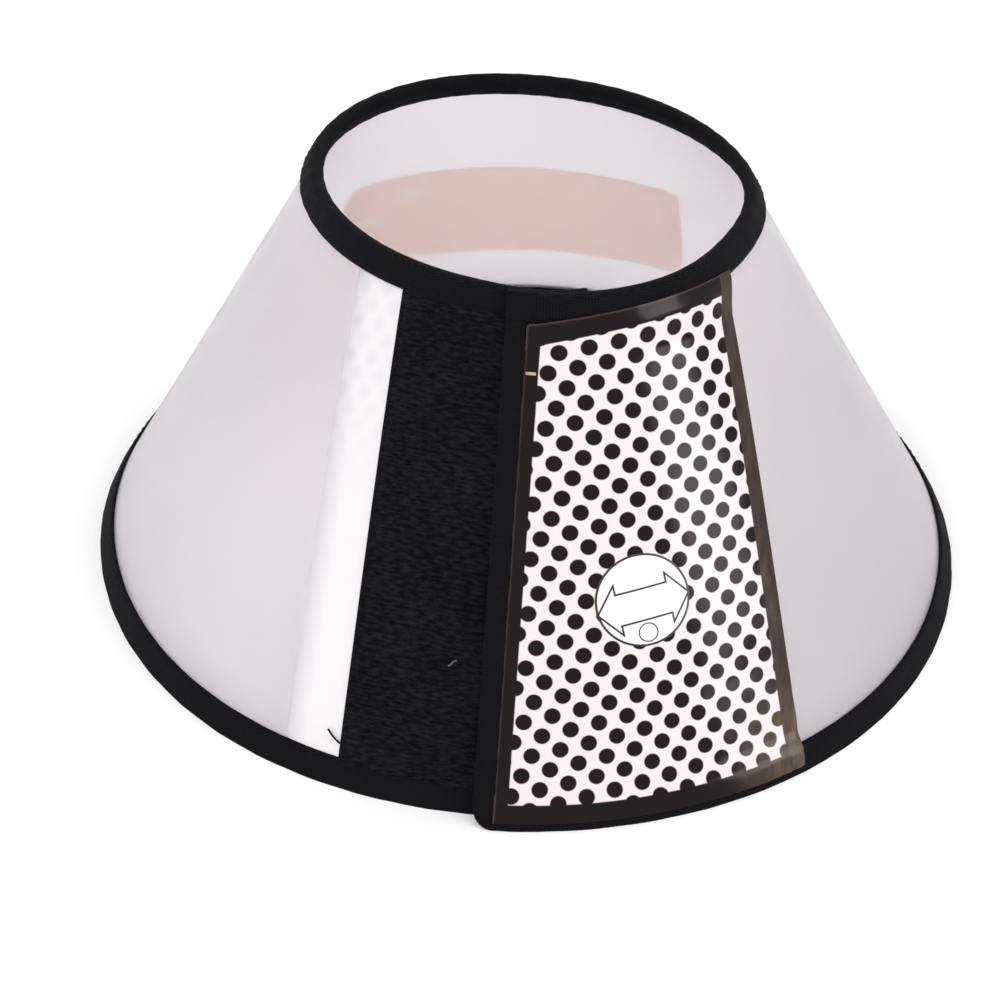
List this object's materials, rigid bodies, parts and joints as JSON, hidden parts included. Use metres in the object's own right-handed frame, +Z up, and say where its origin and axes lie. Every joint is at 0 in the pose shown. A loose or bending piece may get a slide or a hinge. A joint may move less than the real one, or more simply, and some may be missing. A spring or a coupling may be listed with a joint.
{
  "type": "elizabethan collar",
  "caption": "Truncated cone of milky plastic sheet with padded neck edge, fabric-bound rim and a wrap-over hook-and-loop flap, worn round a pet's neck.",
  "frame": {"origin": "middle of the bounding box's base, on the surface that the wide rim stands on", "axes": "+Z up along the cone's axis towards the neck, -Y to the front where the flap closes, +X to the side that the flap comes from"},
  "size_m": [0.2316, 0.2334, 0.1033],
  "materials": {
    "sheet": "milky translucent frosted plastic",
    "binding": "soft matt woven strip",
    "thread": "twisted polyester thread",
    "loop": "fuzzy looped pile with fine ribs",
    "hook": "stiff moulded hooks on a woven tape",
    "printed_film": "glossy white film printed with black dots",
    "white_film": "smooth white film",
    "label": "plain printed paper-like sticker"
  },
  "bodies": {
    "flap": {"cone_sheet_flap": "sheet", "rim_binding_flap": "binding", "neck_binding_flap": "binding", "binding_thread_flap": "thread", "flap_edge_binding": "binding", "hook_tape": "hook", "printed_film": "printed_film"},
    "flap_root": {"cone_sheet_flap_root": "sheet", "rim_binding_flap_root": "binding", "neck_binding_flap_root": "binding", "binding_thread_flap_root": "thread"},
    "right_front": {"cone_sheet_right_front": "sheet", "rim_binding_right_front": "binding", "neck_binding_right_front": "binding", "binding_thread_right_front": "thread"},
    "right_side": {"cone_sheet_right_side": "sheet", "rim_binding_right_side": "binding", "neck_binding_right_side": "binding", "binding_thread_right_side": "thread"},
    "right_back": {"cone_sheet_right_back": "sheet", "rim_binding_right_back": "binding", "neck_binding_right_back": "binding", "binding_thread_right_back": "thread", "label_right_back": "label"},
    "back": {"cone_sheet_back": "sheet", "rim_binding_back": "binding", "neck_binding_back": "binding", "binding_thread_back": "thread", "label_back": "label"},
    "left_back": {"cone_sheet_left_back": "sheet", "rim_binding_left_back": "binding", "neck_binding_left_back": "binding", "binding_thread_left_back": "thread", "label_left_back": "label"},
    "left_side": {"cone_sheet_left_side": "sheet", "rim_binding_left_side": "binding", "neck_binding_left_side": "binding", "binding_thread_left_side": "thread"},
    "left_front": {"cone_sheet_left_front": "sheet", "rim_binding_left_front": "binding", "neck_binding_left_front": "binding", "binding_thread_left_front": "thread"},
    "inner_end": {"cone_sheet_inner_end": "sheet", "rim_binding_inner_end": "binding", "neck_binding_inner_end": "binding", "binding_thread_inner_end": "thread", "inner_edge_binding": "binding", "loop_tape": "loop", "loop_tape_thread": "thread", "white_strip": "white_film"}
  },
  "joints": [
    {"name": "unroll", "type": "hinge", "parent": "back", "child": "right_back", "pos_m": [0.01197, 0.1158, 0.00075], "axis": [-0.0612, -0.4986, 0.8647], "range_deg": [-2.2, 30]},
    {"name": "unroll_right_side", "type": "hinge", "parent": "right_back", "child": "right_side", "pos_m": [0.07552, 0.08883, 0.00075], "axis": [-0.3361, -0.3733, 0.8647], "range_deg": [-2.2, 30]},
    {"name": "unroll_right_front", "type": "hinge", "parent": "right_side", "child": "right_front", "pos_m": [0.11268, 0.0293, 0.00075], "axis": [-0.4894, -0.113, 0.8647], "range_deg": [-2.2, 30]},
    {"name": "unroll_flap_root", "type": "hinge", "parent": "right_front", "child": "flap_root", "pos_m": [0.1089, -0.04191, 0.00075], "axis": [-0.4657, 0.1882, 0.8647], "range_deg": [-3.3, 45]},
    {"name": "flap_peel", "type": "hinge", "parent": "flap_root", "child": "flap", "pos_m": [0.10159, -0.0569, 0.00075], "axis": [-0.435, 0.2511, 0.8647], "range_deg": [0, 80]},
    {"name": "unroll_left_back", "type": "hinge", "parent": "back", "child": "left_back", "pos_m": [-0.05532, 0.10333, 0.00075], "axis": [-0.2358, 0.4435, -0.8647], "range_deg": [-2.2, 30]},
    {"name": "unroll_left_side", "type": "hinge", "parent": "left_back", "child": "left_side", "pos_m": [-0.10329, 0.05451, 0.00075], "axis": [-0.4476, 0.228, -0.8647], "range_deg": [-2.2, 30]},
    {"name": "unroll_left_front", "type": "hinge", "parent": "left_side", "child": "left_front", "pos_m": [-0.11459, -0.01299, 0.00075], "axis": [-0.4974, -0.0699, -0.8647], "range_deg": [-2.2, 30]},
    {"name": "unroll_inner_end", "type": "hinge", "parent": "left_front", "child": "inner_end", "pos_m": [-0.08513, -0.07476, 0.00075], "axis": [-0.3674, -0.3426, -0.8647], "range_deg": [-2.97, 40.5]}
  ],
  "couplings": [
    {"joint": "unroll_right_side", "follows": "unroll", "ratio": 1},
    {"joint": "unroll_right_front", "follows": "unroll", "ratio": 1},
    {"joint": "unroll_flap_root", "follows": "unroll", "ratio": 1.5},
    {"joint": "unroll_left_back", "follows": "unroll", "ratio": 1},
    {"joint": "unroll_left_side", "follows": "unroll", "ratio": 1},
    {"joint": "unroll_left_front", "follows": "unroll", "ratio": 1},
    {"joint": "unroll_inner_end", "follows": "unroll", "ratio": 1.35}
  ]
}
